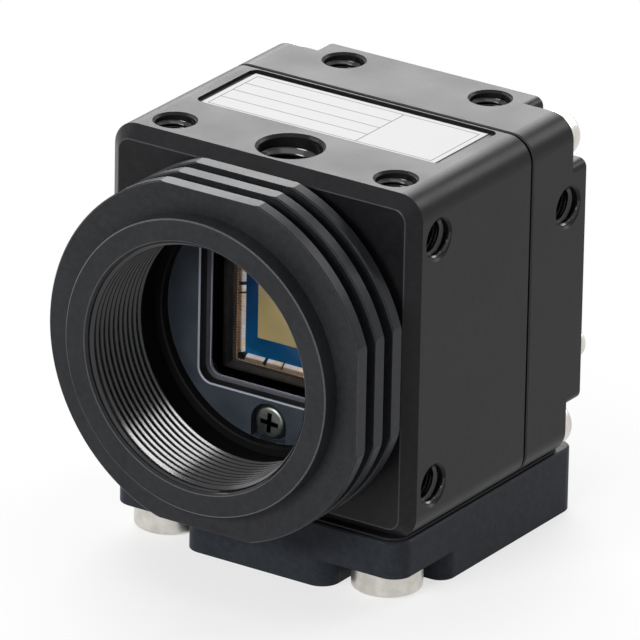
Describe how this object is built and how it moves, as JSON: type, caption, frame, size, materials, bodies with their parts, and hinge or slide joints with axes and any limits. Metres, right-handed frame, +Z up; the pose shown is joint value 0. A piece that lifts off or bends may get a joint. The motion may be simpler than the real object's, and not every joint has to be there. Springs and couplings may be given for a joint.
{
  "type": "machine vision camera",
  "caption": "Compact monochrome industrial camera: finned screw lens mount, bevelled housing, notched rear cover with cable connector, and a mounting base.",
  "frame": {"origin": "centre of the flat ring that a lens seats on, on the lens axis", "axes": "-Y along the lens axis towards the scene, +X to the right of someone who faces the lens, +Z up, away from the mounting base"},
  "size_m": [0.0365, 0.0433, 0.0429],
  "materials": {
    "black_anodised": "black anodised, fine satin",
    "base_anodised": "blue-black anodised, fine matte",
    "black_rubber": "matte black",
    "bright_steel": "bright turned steel",
    "white_label": "white film, faint sheen",
    "black_sheet": "thin black film",
    "blued_plate": "blue-grey matte",
    "brass_fitting": "nickelled brass",
    "clear_glass": "polished, anti-reflection coated",
    "package_ceramic": "dark grey-brown ceramic",
    "gold_plating": "gold plated",
    "die_blue": "deep blue silicon",
    "array_olive": "olive light-sensitive surface",
    "circuit_board": "green lacquered board",
    "black_plastic": "moulded black",
    "plated_shell": "nickel plated"
  },
  "bodies": {
    "root": {"lens_mount": "black_anodised", "front_housing": "black_anodised", "rear_cover": "black_anodised", "mounting_base": "base_anodised", "housing_gasket": "black_rubber", "glass_gasket": "black_rubber", "rear_cover_screws": "bright_steel", "base_screws": "bright_steel", "plate_screws": "bright_steel", "board_screws": "bright_steel", "jack_posts": "bright_steel", "label_plate": "white_label", "base_sheet": "black_sheet", "sensor_plate": "blued_plate", "plate_spacers": "brass_fitting", "front_posts": "brass_fitting", "middle_posts": "brass_fitting", "rear_posts": "brass_fitting", "protective_glass": "clear_glass", "sensor_package": "package_ceramic", "bond_strips": "gold_plating", "sensor_die": "die_blue", "pixel_array": "array_olive", "sensor_board": "circuit_board", "processor_board": "circuit_board", "interface_board": "circuit_board", "front_stack_connector": "black_plastic", "rear_stack_connector": "black_plastic", "image_processor": "black_plastic", "memory_chips": "black_plastic", "connector_shell": "plated_shell", "connector_insulator": "black_plastic", "connector_contacts": "gold_plating"}
  },
  "joints": []
}
